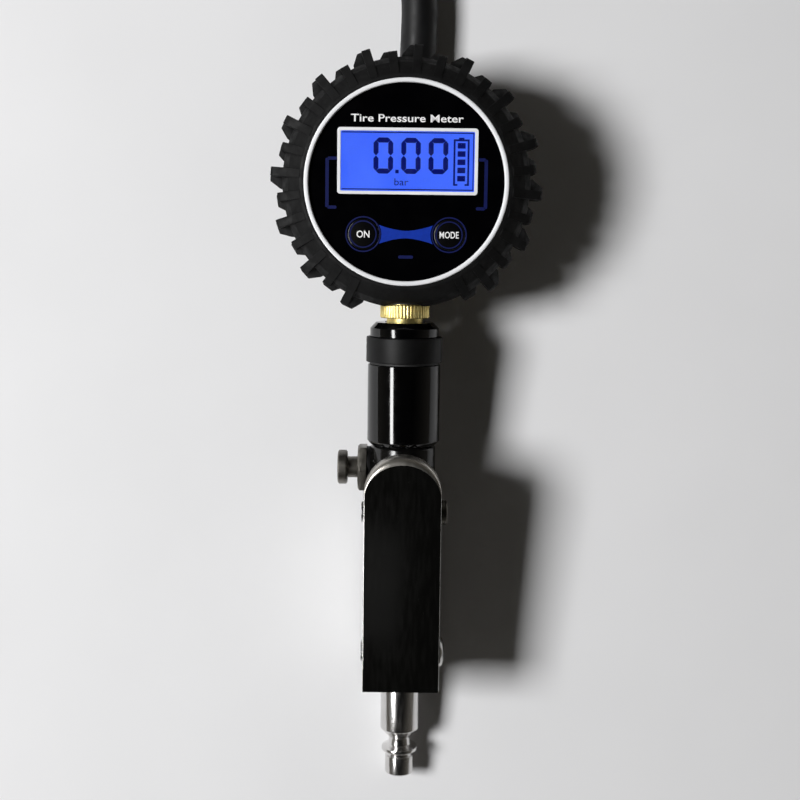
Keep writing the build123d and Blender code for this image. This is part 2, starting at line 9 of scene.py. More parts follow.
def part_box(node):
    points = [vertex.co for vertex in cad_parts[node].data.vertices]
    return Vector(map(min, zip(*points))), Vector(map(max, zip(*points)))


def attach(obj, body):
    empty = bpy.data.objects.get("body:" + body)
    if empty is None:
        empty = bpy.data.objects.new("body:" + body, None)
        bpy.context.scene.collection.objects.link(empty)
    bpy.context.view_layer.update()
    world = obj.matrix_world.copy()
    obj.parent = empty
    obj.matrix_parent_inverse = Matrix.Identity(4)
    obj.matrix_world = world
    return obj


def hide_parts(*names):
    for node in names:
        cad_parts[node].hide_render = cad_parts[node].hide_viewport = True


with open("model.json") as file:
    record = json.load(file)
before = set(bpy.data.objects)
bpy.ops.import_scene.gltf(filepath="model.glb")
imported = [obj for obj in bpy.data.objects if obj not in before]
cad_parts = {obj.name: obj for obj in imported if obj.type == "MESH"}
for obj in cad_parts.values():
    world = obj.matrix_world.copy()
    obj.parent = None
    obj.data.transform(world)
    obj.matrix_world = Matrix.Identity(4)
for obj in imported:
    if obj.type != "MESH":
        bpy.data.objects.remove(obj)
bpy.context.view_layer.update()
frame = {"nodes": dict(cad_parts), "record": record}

# A digital tyre inflator that lies on its back on a pale floor. Pieces are drawn in millimetres in the tool
# frame (origin on the handle's axis under the dial's centre, +X right, +Y to the gauge's top, +Z out of the
# dial) or in a local frame of their own, and put into the row frame, in metres, when they are added.

MM = 0.001
RECORD = frame["record"]
JOINTS = {joint["name"]: joint for joint in RECORD["behaviour"]["joints"]}
SLOT_OF = {part["node"]: part["material_slot"] for part in RECORD["subparts"]}
BODY_OF = {node: body for body, nodes in RECORD["behaviour"]["bodies"].items() for node in nodes}

# --- Driving sizes, in millimetres ---------------------------------------------------------------------
AXIS_HEIGHT = 29.8              # of the gauge's centre above the floor
PLATE_MIDDLE = 11.65            # height z of the face plate's middle
PLATE_TOP, KEY_TOP, DISPLAY_TOP = 12.3, 12.7, 10.9
PRINT = 0.03                    # thickness of printed ink
LUGS, FIRST_LUG, PORT_GAP = 32, 18.0, 20.0
LONG_LUG, SHORT_LUG = 45.0, 42.9
BOOT_R, BOOT_BACK, LUG_FOOT = 40.5, -10.5, 38.0
BUTTONS = {"on_button": (-13.8, -16.5), "mode_button": (13.95, -16.5)}
LINK_MIDDLE = -16.5             # y of the blue link between the buttons
LINK_CENTRE, LINK_GAP = 13.9, 6.0  # x and radius of the circles that end it
NUT_R, NUT_RIBS = 8.2, 44
ELBOW_Y = -54.4                 # of the hose's elbow
LEVER_END, LEVER_SHOULDER, LEVER_HALF = -164.7, -99.5, 12.5
LEVER_FACE, LEVER_FOOT, LEVER_SHEET = 26.0, -4.6, 1.2
SIDE_ROLL = 0.26                # radius between the lever's face and its side walls
STEM_GAP = 0.3                  # between the lever and the valve stem that it presses
CROWN = 0.1                     # rise of the lever's face between its sides
PIVOT, STOP = (-157.5, 5.5), (-110.1, 1.0)
PIN_R, PIN_SLACK, STOP_SLOT = 2.0, 0.06, 2.8
LEVER_SWING = 6.2               # degrees
RELEASE = (-95.2, -2.0)         # y, z of the release knob's axis
STEM_Y = -128.0
HOSE_R, LYING = 6.35, 6.4
HOSE_ROUTE = [                  # from the gauge's centre, heights above the floor
    (0.8, -30.5, 7.15),
    (3.1, 30.0, LYING),
    (4.9, 92.0, LYING),
    (-35.6, 136.2, LYING),
    (-33.5, 196.2, LYING),
    (10.4, 237.1, LYING),
    (70.4, 235.0, LYING),
    (111.3, 191.1, LYING + 0.2),
    (117.7, 145.5, LYING + 1.3),
]


def frame_of(origin, x_dir, z_dir):
    """A local millimetre frame as a matrix into the row frame."""
    z_axis = z_dir.normalized()
    x_axis = (x_dir - z_axis * x_dir.dot(z_axis)).normalized()
    turn = Matrix((x_axis, z_axis.cross(x_axis), z_axis)).transposed().to_4x4()
    return Matrix.Translation(origin) @ turn @ Matrix.Scale(MM, 4)


def tool_frame():
    normal = -Vector(JOINTS["on_button_press"]["axis"])
    low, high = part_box("face_plate")
    return frame_of((low + high) / 2 - normal * PLATE_MIDDLE * MM, Vector((1, 0, 0)), normal)


TOOL = tool_frame()
ON_FLOOR = TOOL.translation - Vector((0, 0, AXIS_HEIGHT * MM))
ROUTE = [ON_FLOOR + Vector(point) * MM for point in HOSE_ROUTE]
FERRULE = frame_of(ROUTE[0], Vector((0, 0, 1)), ROUTE[1] - ROUTE[0])
CHUCK = frame_of(ROUTE[-1], Vector((0, 0, 1)), ROUTE[-1] - ROUTE[-2])


# --- Materials -----------------------------------------------------------------------------------------
def principled(name, colour, roughness, **sockets):
    """A material whose constants are set on its shader's own sockets."""
    made = bpy.data.materials.new(name)
    made.use_nodes = True
    shader = made.node_tree.nodes["Principled BSDF"]
    shader.inputs["Base Color"].default_value = (*colour, 1)
    shader.inputs["Roughness"].default_value = roughness
    for socket, value in sockets.items():
        shader.inputs[socket.replace("_", " ")].default_value = value
    return made


def noise(made, grain, detail=3.0, stretch=(1, 1, 1)):
    """Noise with features of about grain millimetres, longer along an axis whose stretch is small."""
    nodes, links = made.node_tree.nodes, made.node_tree.links
    place = nodes.new("ShaderNodeTexCoord")
    mapping = nodes.new("ShaderNodeMapping")
    mapping.inputs["Scale"].default_value = stretch
    cloud = nodes.new("ShaderNodeTexNoise")
    cloud.inputs["Scale"].default_value = 1 / (grain * MM)
    cloud.inputs["Detail"].default_value = detail
    links.new(place.outputs["Object"], mapping.inputs["Vector"])
    links.new(mapping.outputs["Vector"], cloud.inputs["Vector"])
    return cloud.outputs["Fac"]


def ramp(made, factor, stops):
    """A colour ramp over (place, colour) stops."""
    node = made.node_tree.nodes.new("ShaderNodeValToRGB")
    made.node_tree.links.new(factor, node.inputs["Fac"])
    elements = node.color_ramp.elements
    for n, (at, colour) in enumerate(stops):
        element = elements[n] if n < len(elements) else elements.new(at)
        element.position = at
        element.color = (*colour, 1) if len(colour) == 3 else colour
    return node.outputs["Color"]


def shader_input(made, socket, source):
    made.node_tree.links.new(source, made.node_tree.nodes["Principled BSDF"].inputs[socket])


def mottled(made, grain, dark, light, spread=0.18):
    """The base colour drifts between dark and light."""
    stops = [(0.5 - spread, dark), (0.5 + spread, light)]
    shader_input(made, "Base Color", ramp(made, noise(made, grain), stops))


def worn(made, grain, smooth, rough, stretch=(1, 1, 1)):
    """The roughness drifts between smooth and rough."""
    stops = [(0.35, (smooth,) * 3), (0.65, (rough,) * 3)]
    shader_input(made, "Roughness", ramp(made, noise(made, grain, 4.0, stretch), stops))


def bumped(made, height, depth, strength):
    """A bump of depth millimetres from a height socket."""
    node = made.node_tree.nodes.new("ShaderNodeBump")
    node.inputs["Distance"].default_value = depth * MM
    node.inputs["Strength"].default_value = strength
    made.node_tree.links.new(height, node.inputs["Height"])
    shader_input(made, "Normal", node.outputs["Normal"])


def boot_rubber():
    made = principled("boot_rubber", (0.0038, 0.0038, 0.004), 0.6, Specular_IOR_Level=0.17)
    mottled(made, 5.0, (0.0022, 0.0022, 0.0024), (0.006, 0.006, 0.0062))
    worn(made, 2.0, 0.5, 0.72)
    bumped(made, noise(made, 0.35, 5.0), 0.04, 0.5)
    return made


def hose_rubber():
    made = principled("hose_rubber", (0.004, 0.004, 0.0045), 0.48, Specular_IOR_Level=0.32)
    mottled(made, 9.0, (0.003, 0.003, 0.0035), (0.006, 0.006, 0.0065))
    worn(made, 4.0, 0.42, 0.56)
    bumped(made, noise(made, 0.8, 4.0), 0.02, 0.5)
    return made


def seal_rubber():
    made = principled("seal_rubber", (0.012, 0.012, 0.012), 0.6)
    mottled(made, 1.5, (0.009, 0.009, 0.009), (0.016, 0.016, 0.016))
    bumped(made, noise(made, 0.3), 0.02, 0.5)
    return made


def moulded(name, dark, light, roughness, grain=0.25, depth=0.02):
    """Moulded plastic with a fine texture."""
    made = principled(name, light, roughness)
    mottled(made, 4.0, dark, light)
    bumped(made, noise(made, grain, 4.0), depth, 0.6)
    return made


def face_plastic():
    made = principled("face_plastic", (0.0006, 0.0006, 0.0009), 0.13, Specular_IOR_Level=0.25)
    mottled(made, 12.0, (0.0004, 0.0004, 0.0007), (0.0008, 0.0008, 0.0011))
    worn(made, 6.0, 0.10, 0.17)
    return made


def white_plastic():
    made = principled("white_plastic", (0.86, 0.87, 0.89), 0.34)
    mottled(made, 6.0, (0.83, 0.84, 0.86), (0.89, 0.90, 0.92))
    worn(made, 2.0, 0.28, 0.42)
    return made


def lens():
    made = principled("lens", (1, 1, 1), 0.0, Transmission_Weight=1.0, IOR=1.12)
    worn(made, 8.0, 0.0, 0.03)
    return made


def glowing(name, dark, light):
    """A back-lit surface that gives its own light."""
    made = principled(name, (0, 0, 0), 0.6, Emission_Strength=1.0, Specular_IOR_Level=0.1)
    shader_input(made, "Emission Color", ramp(made, noise(made, 14.0), [(0.3, dark), (0.7, light)]))
    return made


def ink(name, colour, roughness=0.35):
    """Screen-printed ink whose cover is a little uneven."""
    made = principled(name, colour, roughness, Specular_IOR_Level=0.3)
    mottled(made, 1.2, tuple(0.9 * c for c in colour), tuple(min(1, 1.08 * c) for c in colour))
    return made


def black_paint():
    made = principled("black_paint", (0.0008, 0.0008, 0.0009), 0.08, Specular_IOR_Level=0.5)
    mottled(made, 10.0, (0.0005, 0.0005, 0.0006), (0.0011, 0.0011, 0.0012))
    worn(made, 3.0, 0.06, 0.11)
    bumped(made, noise(made, 1.6, 3.0), 0.008, 0.4)
    return made


def black_matte():
    made = principled("black_matte", (0.003, 0.003, 0.0032), 0.5, Specular_IOR_Level=0.2)
    mottled(made, 3.0, (0.0022, 0.0022, 0.0024), (0.004, 0.004, 0.0042))
    bumped(made, noise(made, 0.4, 4.0), 0.015, 0.6)
    return made


def cast_metal():
    made = principled("cast_body", (0.003, 0.003, 0.0028), 0.16, Specular_IOR_Level=0.5)
    mottled(made, 3.0, (0.002, 0.002, 0.0019), (0.004, 0.0038, 0.0036))
    worn(made, 1.6, 0.12, 0.2)
    bumped(made, noise(made, 1.2, 4.0), 0.02, 0.4)
    return made


def chrome(name, tint, smooth, rough, wave):
    """Plating with faint scratches along the tool and a slight waviness of the metal beneath."""
    made = principled(name, tint, smooth, Metallic=1.0)
    mottled(made, 8.0, tuple(0.94 * c for c in tint), tint)
    worn(made, 1.2, smooth, rough, (1, 0.12, 1))
    bumped(made, noise(made, 2.6, 2.0), wave, 0.6)
    return made


def gunmetal():
    made = principled("gunmetal", (0.17, 0.162, 0.145), 0.38, Metallic=1.0)
    mottled(made, 3.0, (0.14, 0.133, 0.118), (0.2, 0.19, 0.172))
    worn(made, 2.0, 0.34, 0.44)
    bumped(made, noise(made, 0.5, 4.0), 0.012, 0.5)
    return made


def steel():
    made = principled("steel", (0.55, 0.55, 0.56), 0.3, Metallic=1.0)
    mottled(made, 1.0, (0.46, 0.46, 0.47), (0.6, 0.6, 0.61))
    worn(made, 0.4, 0.2, 0.36, (0.2, 1, 1))
    return made


def brass():
    made = principled("brass", (0.98, 0.80, 0.44), 0.4, Metallic=1.0)
    mottled(made, 1.5, (0.98, 0.76, 0.27), (1.0, 0.87, 0.38))
    worn(made, 0.6, 0.38, 0.5)
    bumped(made, noise(made, 0.5, 3.0), 0.01, 0.5)
    return made


def circuit_board():
    made = principled("board", (0.02, 0.16, 0.07), 0.4)
    mottled(made, 1.4, (0.012, 0.11, 0.045), (0.03, 0.2, 0.085), 0.06)
    return made


MATERIALS = {
    "boot_rubber": boot_rubber(),
    "hose_rubber": hose_rubber(),
    "seal_rubber": seal_rubber(),
    "case_plastic": moulded("case_plastic", (0.012, 0.012, 0.013), (0.02, 0.02, 0.021), 0.5),
    "face_plastic": face_plastic(),
    "white_plastic": white_plastic(),
    "lens": lens(),
    "lcd": glowing("lcd", (0.045, 0.13, 0.98), (0.060, 0.155, 1.0)),
    "backlight": moulded("backlight", (0.6, 0.7, 0.9), (0.7, 0.8, 0.95), 0.4),
    "button_plastic": moulded("button_plastic", (0.0012, 0.0012, 0.0016), (0.0018, 0.0018, 0.0022), 0.22, 0.8,
                              0.004),
    "board": circuit_board(),
    "component": moulded("component", (0.01, 0.01, 0.01), (0.02, 0.02, 0.02), 0.55),
    "cell": moulded("cell", (0.42, 0.30, 0.06), (0.5, 0.37, 0.08), 0.3, 1.0, 0.005),
    "steel": steel(),
    "spring_steel": chrome("spring_steel", (0.5, 0.5, 0.52), 0.22, 0.36, 0.004),
    "brass": brass(),
    "black_paint": black_paint(),
    "black_matte": black_matte(),
    "cast_body": cast_metal(),
    "lever_chrome": chrome("lever_chrome", (0.56, 0.555, 0.54), 0.09, 0.13, 0.0015),
    "plug_chrome": chrome("plug_chrome", (0.72, 0.71, 0.70), 0.15, 0.25, 0.014),
    "gunmetal": gunmetal(),
}
BRIGHT_BLUE_INK = ink("bright_blue_ink", (0.005, 0.034, 0.36))
DARK_BLUE_INK = ink("dark_blue_ink", (0.005, 0.009, 0.075))
LEVER_EDGE = chrome("lever_edge", (0.50, 0.48, 0.44), 0.30, 0.38, 0.004)
WHITE_INK = ink("white_ink", (0.9, 0.9, 0.9))
# Navy for the digits and marks, and also for the painted shadow strips along the display's edges; like the
# back-lit display, it glows a little.
NAVY_SEGMENTS_AND_SHADOW = glowing("navy_segments_and_shadow", (0.0016, 0.0045, 0.11), (0.0022, 0.0060, 0.14))


# --- Mesh helpers --------------------------------------------------------------------------------------
def rounded(corners, steps=4):
    """The closed outline through corners (a, b, radius), each corner with an arc of its radius."""
    outline = []
    for n, (a, b, radius) in enumerate(corners):
        here = Vector((a, b))
        back = Vector(corners[n - 1][:2]) - here
        ahead = Vector(corners[(n + 1) % len(corners)][:2]) - here
        if not radius:
            outline.append(here)
            continue
        half = back.angle(ahead) / 2
        reach = min(radius / tan(half), 0.48 * back.length, 0.48 * ahead.length)
        middle = here + (back.normalized() + ahead.normalized()).normalized() * reach / cos(half)
        start = here + back.normalized() * reach - middle
        end = here + ahead.normalized() * reach - middle
        for step in range(steps + 1):
            outline.append(middle + start.normalized().slerp(end.normalized(), step / steps) * start.length)
    return outline


def spread(axis, r, along, angle):
    """A point at an angle round an axis of the local frame."""
    a, b = r * cos(angle), r * sin(angle)
    return {"x": (along, a, b), "y": (a, along, b), "z": (a, b, along)}[axis]


def turned(bm, corners, axis, centre=(0, 0, 0), segments=96):
    """A turned skin whose closed section has corners (radius, station, fillet)."""
    section = rounded(corners)
    rings = []
    for n in range(segments):
        angle = 2 * pi * n / segments
        rings.append([bm.verts.new(Vector(centre) + Vector(spread(axis, r, s, angle))) for r, s in section])
    for ring, following in zip(rings, rings[1:] + rings[:1]):
        for k in range(len(section)):
            bm.faces.new((ring[k - 1], ring[k], following[k], following[k - 1]))
    bmesh.ops.remove_doubles(bm, verts=bm.verts, dist=1e-4)


def slab(bm, outline, low, high, axis="z"):
    """A closed prism over an outline of two-dimensional points, between two stations on an axis."""
    lift = {"x": lambda a, b, s: (s, a, b), "z": lambda a, b, s: (a, b, s)}[axis]
    floor = [bm.verts.new(lift(a, b, low)) for a, b in outline]
    roof = [bm.verts.new(lift(a, b, high)) for a, b in outline]
    bm.faces.new(floor[::-1])
    bm.faces.new(roof)
    for n in range(len(outline)):
        bm.faces.new((floor[n - 1], floor[n], roof[n], roof[n - 1]))


def box_outline(x0, x1, y0, y1, corner):
    """A rectangle with rounded corners."""
    return rounded([(x0, y0, corner), (x1, y0, corner), (x1, y1, corner), (x0, y1, corner)])


def joined(bm, other, place=None):
    """Adds other's shells to bm, moved by place."""
    mesh = bpy.data.meshes.new("joined")
    other.to_mesh(mesh)
    if place is not None:
        mesh.transform(place)
    bm.from_mesh(mesh)
    bpy.data.meshes.remove(mesh)


def draft(bm):
    """A working object that isn't part of the scene's pieces."""
    mesh = bpy.data.meshes.new("draft")
    bmesh.ops.recalc_face_normals(bm, faces=bm.faces)
    bm.to_mesh(mesh)
    bm.free()
    thing = bpy.data.objects.new("draft", mesh)
    bpy.context.collection.objects.link(thing)
    return thing


def settled(thing):
    """The draft's mesh with its modifiers applied, as a new bmesh; the draft goes."""
    bpy.context.view_layer.update()
    mesh = bpy.data.meshes.new_from_object(thing.evaluated_get(bpy.context.evaluated_depsgraph_get()))
    bm = bmesh.new()
    bm.from_mesh(mesh)
    bpy.data.meshes.remove(mesh)
    bpy.data.meshes.remove(thing.data)
    return bm


def cut(bm, *tools):
    """bm less each of the closed shapes in tools."""
    whole = draft(bm)
    others = [draft(tool) for tool in tools]
    for other in others:
        boolean = whole.modifiers.new("cut", "BOOLEAN")
        boolean.operation, boolean.solver, boolean.object = "DIFFERENCE", "EXACT", other
    result = settled(whole)
    for other in others:
        bpy.data.meshes.remove(other.data)
    return result


def add(name, bm, material, body="handle", replaced=(), place=TOOL, sharp=32):
    """A new piece from bm, on its body, in place of its CAD nodes."""
    mesh = bpy.data.meshes.new(name)
    bmesh.ops.recalc_face_normals(bm, faces=bm.faces)
    bm.to_mesh(mesh)
    bm.free()
    mesh.transform(place)
    mesh.shade_smooth()
    mesh.set_sharp_from_angle(angle=radians(sharp))
    mesh.materials.append(material)
    piece = bpy.data.objects.new(name, mesh)
    bpy.context.collection.objects.link(piece)
    return placed(piece, body, replaced)


def placed(piece, body, replaced):
    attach(piece, body)
    if replaced:
        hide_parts(*replaced)
    return piece


def lathe_piece(node, axis, corners, centre=(0, 0, 0), place=TOOL, segments=96):
    """A turned piece that stands for one CAD node, in its material and on its body."""
    bm = bmesh.new()
    turned(bm, corners, axis, centre, segments)
    return add(f"{node}_turned", bm, MATERIALS[SLOT_OF[node]], BODY_OF[node], replaced=(node,), place=place)


def softened(node, width):
    """A copy of a CAD node whose hard edges are rounded."""
    bm = bmesh.new()
    bm.from_mesh(frame["nodes"][node].data)
    bmesh.ops.remove_doubles(bm, verts=bm.verts, dist=1e-6)
    bmesh.ops.dissolve_limit(bm, angle_limit=radians(0.6), verts=bm.verts, edges=bm.edges)
    material = MATERIALS[SLOT_OF[node]]
    piece = add(f"{node}_soft", bm, material, BODY_OF[node], replaced=(node,), place=Matrix())
    return bevelled(piece, width, 28)


def bevelled(piece, width, limit):
    """Rounds the piece's edges that turn by more than limit degrees."""
    bevel = piece.modifiers.new("edges", "BEVEL")
    bevel.width, bevel.segments, bevel.angle_limit = width * MM, 2, radians(limit)
    bevel.harden_normals = True
    return piece


def lettering(bm, words, low, high, base, weight):
    """Generic words as raised ink that fills the box from low to high."""
    curve = bpy.data.curves.new("words", "FONT")
    curve.body, curve.extrude, curve.offset, curve.resolution_u = words, 0.01, weight, 3
    thing = bpy.data.objects.new("words", curve)
    bpy.context.collection.objects.link(thing)
    bpy.context.view_layer.update()
    mesh = bpy.data.meshes.new_from_object(thing.evaluated_get(bpy.context.evaluated_depsgraph_get()))
    bpy.data.curves.remove(curve)
    at = [v.co for v in mesh.vertices]
    corner = Vector((min(p.x for p in at), min(p.y for p in at), min(p.z for p in at)))
    size = [max(p[k] for p in at) - corner[k] for k in range(3)]
    scale = [(high[0] - low[0]) / size[0], (high[1] - low[1]) / size[1], PRINT / size[2]]
    fit = Matrix.Diagonal((*scale, 1)) @ Matrix.Translation(-corner)
    mesh.transform(Matrix.Translation((*low, base)) @ fit)
    bm.from_mesh(mesh)
    bpy.data.meshes.remove(mesh)


# --- Camera, light and floor ---------------------------------------------------------------------------
CAMERA_PLACE = (-0.00123, 0.00707, 0.4433)  # metres
CAMERA_TURN = 0.7               # degrees about the line of sight
LENS_LENGTH, SENSOR_WIDTH = 56.25, 36


def camera():
    """Straight above the middle of the tool, at the height that gives its perspective."""
    made = bpy.data.cameras.new("camera")
    made.lens, made.sensor_width = LENS_LENGTH, SENSOR_WIDTH
    made.clip_start = 0.01
    thing = bpy.data.objects.new("camera", made)
    thing.location = CAMERA_PLACE
    thing.rotation_euler = (0, 0, radians(CAMERA_TURN))
    bpy.context.collection.objects.link(thing)
    bpy.context.scene.camera = thing


def soft_light(name, place, size, power):
    """A rectangular light that faces the tool; its second size runs up from the floor."""
    made = bpy.data.lights.new(name, "AREA")
    made.shape, made.energy = "RECTANGLE", power
    made.size, made.size_y = size
    thing = bpy.data.objects.new(name, made)
    thing.location = place
    thing.rotation_euler = (-Vector(place)).to_track_quat("-Z", "Y").to_euler()
    bpy.context.collection.objects.link(thing)
    return thing


def studio():
    """A compact key light for the shadows, a long strip for the highlights and a dim card over the lever."""
    soft_light("key_light", (-1.25, 0.03, 1.32), (0.55, 0.48), 39.3).visible_glossy = False
    soft_light("sheen_strip", (-1.12, 0, 1.43), (1.8, 0.3), 40.0).visible_diffuse = False
    soft_light("low_card", (-0.06, -0.43, 0.96), (0.12, 0.12), 0.0006)
    world = bpy.data.worlds.new("studio")
    world.use_nodes = True
    nodes, links = world.node_tree.nodes, world.node_tree.links
    place = nodes.new("ShaderNodeTexCoord")
    split = nodes.new("ShaderNodeSeparateXYZ")
    fade = nodes.new("ShaderNodeValToRGB")
    links.new(place.outputs["Generated"], split.inputs["Vector"])
    links.new(split.outputs["Z"], fade.inputs["Fac"])
    links.new(fade.outputs["Color"], nodes["Background"].inputs["Color"])
    fade.color_ramp.elements[0].position, fade.color_ramp.elements[1].position = 0.0, 0.85
    fade.color_ramp.elements[0].color = (0.140, 0.130, 0.114, 1)
    fade.color_ramp.elements[1].color = (0.0035, 0.0035, 0.0032, 1)
    bpy.context.scene.world = world
    bpy.context.scene.view_settings.view_transform = "Standard"


def floor():
    """The pale paper that the tool lies on."""
    bm = bmesh.new()
    bmesh.ops.create_grid(bm, x_segments=4, y_segments=4, size=2.5)
    mesh = bpy.data.meshes.new("floor")
    bm.to_mesh(mesh)
    bm.free()
    paper = principled("floor_paper", (0.80, 0.80, 0.81), 0.7, Specular_IOR_Level=0.2)
    mottled(paper, 60.0, (0.79, 0.79, 0.80), (0.81, 0.81, 0.82))
    mesh.materials.append(paper)
    thing = bpy.data.objects.new("floor", mesh)
    bpy.context.collection.objects.link(thing)


# --- Hose and chuck ------------------------------------------------------------------------------------
def hose():
    """The rubber air hose on its smooth line along the floor."""
    curve = bpy.data.curves.new("air_hose", "CURVE")
    curve.dimensions = "3D"
    spline = curve.splines.new("NURBS")
    spline.points.add(len(ROUTE) - 1)
    for point, at in zip(spline.points, ROUTE):
        point.co = (*at, 1)
    spline.order_u = 3
    spline.use_endpoint_u = True
    spline.resolution_u = 16
    curve.bevel_depth, curve.bevel_resolution, curve.use_fill_caps = HOSE_R * MM, 10, True
    curve.materials.append(MATERIALS["hose_rubber"])
    piece = bpy.data.objects.new("air_hose", curve)
    bpy.context.collection.objects.link(piece)
    return placed(piece, "handle", ("hose",))


def hose_ends():
    """The crimped sleeves on the hose and the pieces of the tyre chuck."""
    grooves = [(7.0, -11.6, 0.4), (7.0, -9.4, 0.3), (6.55, -8.9, 0.2), (6.55, -7.1, 0.2), (7.0, -6.6, 0.3)]
    sleeve = lathe_piece("hose_ferrule", "z", [
        (0, -13, 0), (5.7, -13, 0.3), *grooves, (7.0, -0.3, 0.3), (6.4, 0, 0.1), (0, 0, 0),
    ], place=FERRULE)
    crimped = lathe_piece("chuck_ferrule", "z", [
        (0, 0, 0), (6.4, 0, 0.1), (7.0, 0.4, 0.3), (7.0, 6.2, 0.3), (6.55, 6.7, 0.2), (6.55, 7.9, 0.2),
        (7.0, 8.4, 0.3), (7.0, 13.6, 0.5), (5.8, 15, 0.3), (0, 15, 0),
    ], place=CHUCK)
    chuck = [softened("chuck_body", 0.35), softened("chuck_lever", 0.3), softened("chuck_clip_pin", 0.25)]
    return [sleeve, crimped, *chuck, "chuck_gasket", "chuck_depressor"]


camera()
studio()
floor()
air_hose = hose()
hose_ends()


# --- Gauge head ----------------------------------------------------------------------------------------
def lug(outer):
    """A tread block on the front shoulder, and beside and below it a wider one with a slanting side."""
    front, rear = bmesh.new(), bmesh.new()
    near = outer - 0.8
    front_z, front_slope, back_z, back_slope = 7.4, 0.95, -9.2, 0.45
    profile = [
        (34.3, 12.9), (38.9, 9.9), (near - 0.7, 9.0), (near, 8.2), (near, 0.0), (38.5, -2.0), (34.6, 0.0),
    ]
    slab(front, profile, -1.45, 1.45, "x")
    plan = [
        (1.3, LUG_FOOT), (1.3, outer - 0.5), (0.8, outer - 0.05), (-2.9, outer - 0.15), (-5.2, outer - 3.9),
        (-5.2, LUG_FOOT),
    ]
    slab(rear, plan, 0, 1)
    for v in rear.verts:
        beyond = v.co.y - LUG_FOOT
        v.co.z = front_z - front_slope * beyond if v.co.z > 0.5 else back_z + back_slope * beyond
    for block in (front, rear):
        bmesh.ops.recalc_face_normals(block, faces=block.faces)
        bmesh.ops.bevel(block, geom=block.edges[:], offset=0.14, segments=1, affect="EDGES")
    joined(front, rear)
    return front


def boot():
    """The rubber boot: a turned carcass with a hole for the stem, and two sizes of lug in turn round it."""
    carcass = bmesh.new()
    turned(carcass, [
        (33.2, 13.0, 0.2), (34.4, 12.7, 0.5), (38.4, 9.3, 1.5), (BOOT_R, 5.9, 1.5), (BOOT_R, -5.6, 1.5),
        (38.4, -8.5, 1.5), (35.0, BOOT_BACK, 0.6), (31.8, BOOT_BACK, 0.3), (31.8, -9.3, 0), (34.0, -9.3, 0),
        (34.0, PLATE_TOP, 0), (33.2, PLATE_TOP, 0),
    ], "z", segments=192)
    port = bmesh.new()
    turned(port, [(0, -30, 0), (8.8, -30, 0), (8.8, -50, 0), (0, -50, 0)], "y", segments=64)
    skin = cut(carcass, port)
    blocks = [lug(LONG_LUG), lug(SHORT_LUG)]
    for n in range(LUGS):
        turn = FIRST_LUG + n * 360 / LUGS
        if abs(turn % 360 - 180) >= PORT_GAP:
            joined(skin, blocks[n % 2], Matrix.Rotation(radians(turn), 4, "Z"))
    add("boot_skin", skin, MATERIALS["boot_rubber"], replaced=("rubber_boot",))


def dial_trim():
    lathe_piece("trim_ring", "z", [
        (31.5, PLATE_TOP, 0), (33.0, PLATE_TOP, 0), (33.0, 13.6, 0.5), (31.5, 13.6, 0.5),
    ], segments=192)
    softened("display_frame", 0.1)
    softened("face_plate", 0.06)


def blue_print():
    """The brackets beside the display, the rings round the buttons and the dash, in dark ink."""
    bm = bmesh.new()
    top = PLATE_TOP + PRINT
    for side in (-1, 1):
        strips = [(24.95, 26.05, -8.05, 7.6), (22.2, 25.4, 7.0, 8.0), (22.4, 25.4, -8.5, -7.5)]
        for x0, x1, y0, y1 in strips:
            edge = sorted((side * x0, side * x1))
            slab(bm, box_outline(*edge, y0, y1, 0.45), PLATE_TOP, top)
    for x, y in BUTTONS.values():
        ring = [(5.3, PLATE_TOP, 0), (5.75, PLATE_TOP, 0), (5.75, top, 0), (5.3, top, 0)]
        turned(bm, ring, "z", (x, y, 0))
    slab(bm, box_outline(-2.4, 2.4, -24.2, -23.2, 0.45), PLATE_TOP, top)
    add("dark_blue_print", bm, DARK_BLUE_INK)


def bow_tie():
    """The blue link between the buttons: two fans that meet at a narrow waist and end along the rings."""
    bm = bmesh.new()
    wing, waist, steps = 3.0, 1.2, 12
    spare = asin(wing / LINK_GAP)
    reach = LINK_CENTRE - LINK_GAP * cos(spare)
    upper = [(reach * n / steps, waist + (wing - waist) * (n / steps) ** 1.7) for n in range(steps)]
    hollow = [spare * (1 - 2 * n / steps) for n in range(steps + 1)]
    right = upper + [(LINK_CENTRE - LINK_GAP * cos(a), LINK_GAP * sin(a)) for a in hollow]
    right += [(x, -y) for x, y in upper[::-1]]
    outline = right + [(-x, y) for x, y in right[-2:0:-1]]
    slab(bm, [(x, LINK_MIDDLE + y) for x, y in outline], PLATE_TOP, PLATE_TOP + PRINT)
    add("blue_link_print", bm, BRIGHT_BLUE_INK)


def white_print():
    """A plain title over the display."""
    bm = bmesh.new()
    lettering(bm, "Tire Pressure Meter", (-18.0, 19.1), (18.0, 21.5), PLATE_TOP, 0.012)
    add("white_print", bm, WHITE_INK)


def button(node, label, half_width, half_height):
    """A button's cap, and its ring and label, which move with it."""
    x, y = BUTTONS[node]
    top, body = KEY_TOP, BODY_OF[node]
    lathe_piece(node, "z", [
        (0, 8.7, 0), (1.4, 8.7, 0), (1.4, 9.7, 0), (5.9, 9.7, 0), (5.9, 10.7, 0), (5.0, 10.7, 0),
        (5.0, top, 0.35), (0, top, 0),
    ], (x, y, 0))
    ring = bmesh.new()
    section = [(4.0, top, 0), (4.4, top, 0), (4.4, top + PRINT, 0), (4.0, top + PRINT, 0)]
    turned(ring, section, "z", (x, y, 0))
    add(f"{node}_ring_print", ring, DARK_BLUE_INK, body)
    words = bmesh.new()
    low, high = (x - half_width, y - half_height), (x + half_width, y + half_height)
    lettering(words, label, low, high, top, 0.015)
    add(f"{node}_label_print", words, WHITE_INK, body)


